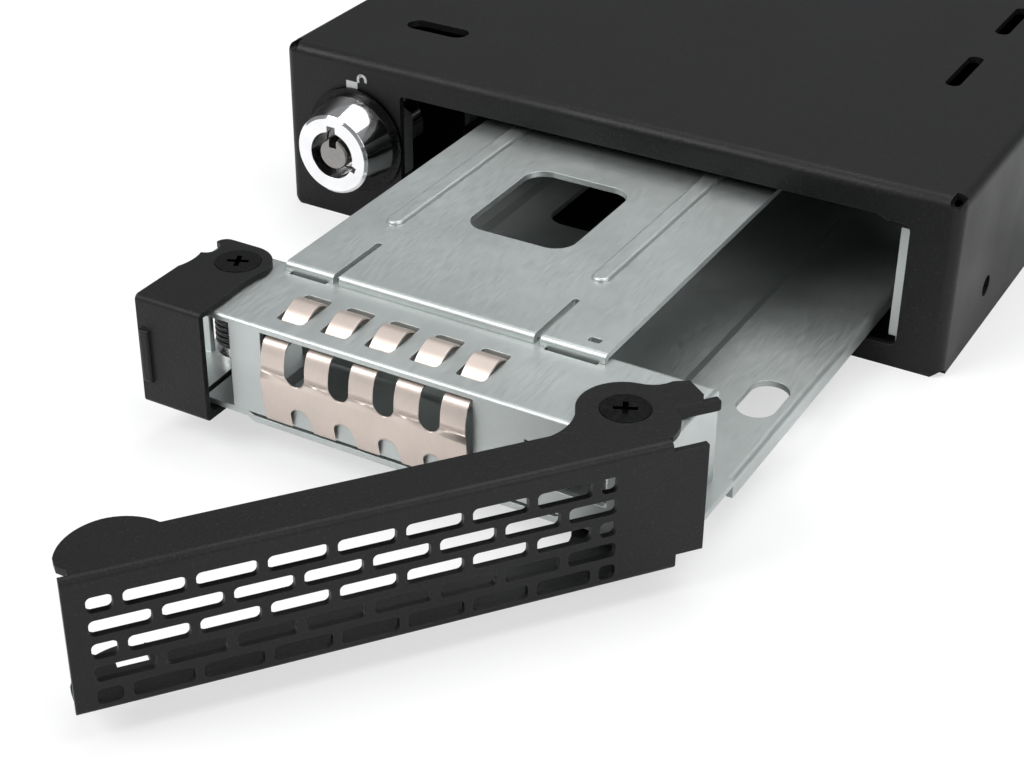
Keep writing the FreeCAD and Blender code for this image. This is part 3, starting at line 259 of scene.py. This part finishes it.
def padlock_outlines(width, height, shackle):
    """Open padlock: a body and a shackle band swung clear of its right side."""
    w = width / 2
    body = [(-w, 0), (w, 0), (w, height), (-w, height)]
    radius, band = shackle, SHACKLE_BAND
    turns = [math.radians(a) for a in range(180, -31, -15)]
    centre = (w - 0.1 + radius, height + 0.5)
    outer = [(centre[0] + radius * math.cos(a), centre[1] + radius * math.sin(a))
             for a in turns]
    inner = [(centre[0] + (radius - band) * math.cos(a), centre[1] + (radius - band) * math.sin(a))
             for a in turns[::-1]]
    leg = [(centre[0] - radius + band, height - 0.05), (centre[0] - radius, height - 0.05)]
    return [body, outer + inner + leg]


lock_low, lock_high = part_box("lock_housing")
lock_mid = (lock_low + lock_high) / 2
cover_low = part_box("cage_cover")[0]
glyph = printed("open_glyph", padlock_outlines(GLYPH_W, GLYPH_H, SHACKLE_R),
                (lock_mid.x - GLYPH_LEFT * MM, cover_low.y - GLYPH_LIFT * MM,
                 lock_high.z + GLYPH_ABOVE * MM))
glyph_look = Look("glyph_print", (0.5, 0.5, 0.5), 0.0, 0.6)
glyph_look.bump([(glyph_look.noise(2600, 2), 0.3, 0.1 * MM)])
glyph.data.materials.append(glyph_look.material)
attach(glyph, "rack")


# ------------------------------------------------------------------ earthing strip
FINGERS = 5
FINGER_PITCH = 6.1          # mm, as the CAD strip's
FINGER_W = 3.3
STRIP_T = 0.3
SHARP = math.radians(35)    # edges turned by more than this stay sharp
GAP_FROM = 6.1              # along the strip, from its lower edge to the gaps' round ends
NOTCH_R = 1.35              # half-open notches at the lower edge, under the gaps
NOTCH_H = 3.0
NOTCH_SHIFT = 0.1           # notch right of its gap's middle
NOTCH_FLARE = 0.35          # its right side leans out at the lower edge
BAND_LEFT, BAND_RIGHT = 0.3, 0.1    # band past the first and the last finger
SHOULDER = 1.0              # length of the step from the band's width to the fingers'
FIRST_FINGER = 0.2          # first finger in from the strip's left end


def arc(x, s, radius, start, end, steps=8):
    turns = [math.radians(start + (end - start) * k / steps) for k in range(steps + 1)]
    return [(x + radius * math.cos(a), s + radius * math.sin(a)) for a in turns]


def smooth(points, steps=10):
    """Catmull-Rom curve through the points."""
    line = [points[0]] + list(points) + [points[-1]]
    out = []
    for a, b, c, d in zip(line, line[1:], line[2:], line[3:]):
        for k in range(steps):
            t = k / steps
            out.append(tuple(0.5 * (2 * q + (r - p) * t + (2 * p - 5 * q + 4 * r - w) * t * t
                                    + (3 * q - p - 3 * r + w) * t ** 3)
                             for p, q, r, w in zip(a, b, c, d)))
    return out + [tuple(points[-1])]


def comb(x0, length):
    """Flat pattern of the strip as (x, s): fingers up, half-open notches at the lower edge."""
    last = x0 + (FINGERS - 1) * FINGER_PITCH + FINGER_W
    gaps = [x0 + k * FINGER_PITCH + FINGER_W for k in range(FINGERS - 1)]
    gap_w = FINGER_PITCH - FINGER_W
    outline = [(x0 - BAND_LEFT, 0)]
    for left in gaps:
        middle = left + gap_w / 2 + NOTCH_SHIFT
        outline += [(middle - NOTCH_R, 0)]
        outline += arc(middle, NOTCH_H - NOTCH_R, NOTCH_R, 180, 0)
        outline += [(middle + NOTCH_R + NOTCH_FLARE, 0)]
    outline += [(last + BAND_RIGHT, 0), (last + BAND_RIGHT, GAP_FROM),
                (last, GAP_FROM + SHOULDER), (last, length)]
    for left in gaps[::-1]:
        right = left + gap_w
        outline += [(right, length)]
        outline += arc(right - gap_w / 2, GAP_FROM + gap_w / 2, gap_w / 2, 0, -180)
        outline += [(left, length)]
    return outline + [(x0, length), (x0, GAP_FROM + SHOULDER), (x0 - BAND_LEFT, GAP_FROM)]


def folded(name, outline, section, thickness, place):
    """A sheet: its flat outline (x, s) in mm bent along a section of (y, z) points."""
    lengths = [0]
    for (a, b), (c, d) in zip(section, section[1:]):
        lengths.append(lengths[-1] + math.hypot(c - a, d - b))
    mesh = bpy.data.meshes.new(name)
    shape = bmesh.new()
    shape.faces.new([shape.verts.new((x, s, 0)) for x, s in outline])
    for s in lengths[1:-1]:
        bmesh.ops.bisect_plane(shape, geom=shape.verts[:] + shape.edges[:] + shape.faces[:],
                               plane_co=(0, s, 0), plane_no=(0, 1, 0))
    bmesh.ops.triangulate(shape, faces=shape.faces[:])
    for vert in shape.verts:
        s = min(max(vert.co.y, 0), lengths[-1])
        k = max(i for i in range(len(lengths) - 1) if lengths[i] <= s + 1e-9)
        t = (s - lengths[k]) / (lengths[k + 1] - lengths[k])
        y, z = (p + (q - p) * t for p, q in zip(section[k], section[k + 1]))
        vert.co = Vector((vert.co.x, y, z)) * MM
    bmesh.ops.solidify(shape, geom=shape.faces[:], thickness=thickness * MM)
    bmesh.ops.recalc_face_normals(shape, faces=shape.faces[:])
    for face in shape.faces:
        face.smooth = True
    for edge in shape.edges:
        edge.smooth = edge.is_manifold and edge.calc_face_angle() < SHARP
    shape.to_mesh(mesh)
    shape.free()
    piece = bpy.data.objects.new(name, mesh)
    bpy.context.collection.objects.link(piece)
    piece.location = place
    return piece


def strip_section(top):
    """Side view of band and finger, (y, z) in mm from the box's front lower edge: bulging
    forward, curling in under the top sheet and arching out of the slot behind."""
    return smooth([(-0.25, 0.35), (-0.75, 3.0), (-1.1, 6.0), (-1.15, 8.4), (-0.85, top - 2.3),
                   (-0.2, top - 1.25), (1.2, top - 1.0), (2.5, top - 1.0), (3.3, top - 0.5),
                   (4.6, top + 0.45), (6.2, top + 0.95), (7.6, top + 0.5), (8.5, top - 0.5),
                   (8.7, top - 1.5)])


strip_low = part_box("emi_strip")[0]
front_low, front_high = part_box("front_box")
section = strip_section((front_high.z - front_low.z) / MM)
length = sum(math.hypot(c - a, d - b) for (a, b), (c, d) in zip(section, section[1:]))
strip = folded("earthing_strip", comb(FIRST_FINGER, length), section, STRIP_T,
               (strip_low.x, front_low.y, front_low.z))
strip.data.materials.append(finishes["earthing_strip"])
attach(strip, "caddy")
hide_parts("emi_strip")


# ------------------------------------------------------------------ floor, lamps, camera
FLOOR_HALF = 3.0            # half the floor's side
FLOOR_WHITE = 0.6           # share of plain white that the camera sees in the floor
# name, place, size and power of each area lamp
LAMPS = (("key", (-0.55, -0.75, 0.85), (0.7, 0.7), 10),
         ("overhead", (0.1, 0.25, 1.1), (1.1, 0.8), 8.5),
         ("side", (0.9, -0.35, 0.55), (0.5, 0.6), 4))
LAMP_TARGET = (0, -0.08, 0.01)
WORLD_COLOR, WORLD_STRENGTH = (0.9, 0.92, 0.95, 1), 0.3


def floor():
    """Pale floor that keeps the object's shadow and looks nearly white to the camera."""
    mesh = bpy.data.meshes.new("floor")
    half = FLOOR_HALF
    corners = [(-half, -half, 0), (half, -half, 0), (half, half, 0), (-half, half, 0)]
    mesh.from_pydata(corners, [], [(0, 1, 2, 3)])
    piece = bpy.data.objects.new("floor", mesh)
    bpy.context.collection.objects.link(piece)
    material = bpy.data.materials.new("floor")
    material.use_nodes = True
    tree = material.node_tree
    tree.nodes.clear()
    out = tree.nodes.new("ShaderNodeOutputMaterial")
    mix = tree.nodes.new("ShaderNodeMixShader")
    diffuse = tree.nodes.new("ShaderNodeBsdfDiffuse")
    glow = tree.nodes.new("ShaderNodeEmission")
    rays = tree.nodes.new("ShaderNodeLightPath")
    seen = tree.nodes.new("ShaderNodeMath")
    seen.operation = "MULTIPLY"
    seen.inputs[1].default_value = FLOOR_WHITE
    diffuse.inputs["Color"].default_value = (0.9, 0.9, 0.9, 1)
    tree.links.new(rays.outputs["Is Camera Ray"], seen.inputs[0])
    tree.links.new(seen.outputs[0], mix.inputs[0])
    tree.links.new(diffuse.outputs[0], mix.inputs[1])
    tree.links.new(glow.outputs[0], mix.inputs[2])
    tree.links.new(mix.outputs[0], out.inputs["Surface"])
    mesh.materials.append(material)


def lamp(name, place, size, power):
    """Area lamp that looks at the object."""
    data = bpy.data.lights.new(name, "AREA")
    data.shape = "RECTANGLE"
    data.size, data.size_y = size
    data.energy = power
    piece = bpy.data.objects.new(name, data)
    bpy.context.collection.objects.link(piece)
    piece.location = place
    piece.rotation_euler = (Vector(LAMP_TARGET) - Vector(place)).to_track_quat("-Z", "Y").to_euler()


def camera():
    """Camera at the fitted place and angles."""
    data = bpy.data.cameras.new("camera")
    data.sensor_width = 36
    data.lens = CAMERA_LENS
    data.clip_start = 0.01
    piece = bpy.data.objects.new("camera", data)
    bpy.context.collection.objects.link(piece)
    turn = (Matrix.Rotation(math.radians(CAMERA_YAW), 4, "Z")
            @ Matrix.Rotation(math.radians(90 - CAMERA_PITCH), 4, "X")
            @ Matrix.Rotation(math.radians(CAMERA_ROLL), 4, "Z"))
    piece.matrix_world = Matrix.Translation(CAMERA_AT) @ turn
    bpy.context.scene.camera = piece


floor()
for name, place, size, power in LAMPS:
    lamp(name, place, size, power)
world = bpy.data.worlds.new("world")
world.use_nodes = True
world.node_tree.nodes["Background"].inputs["Color"].default_value = WORLD_COLOR
world.node_tree.nodes["Background"].inputs["Strength"].default_value = WORLD_STRENGTH
bpy.context.scene.world = world
bpy.context.scene.view_settings.view_transform = "Standard"
camera()
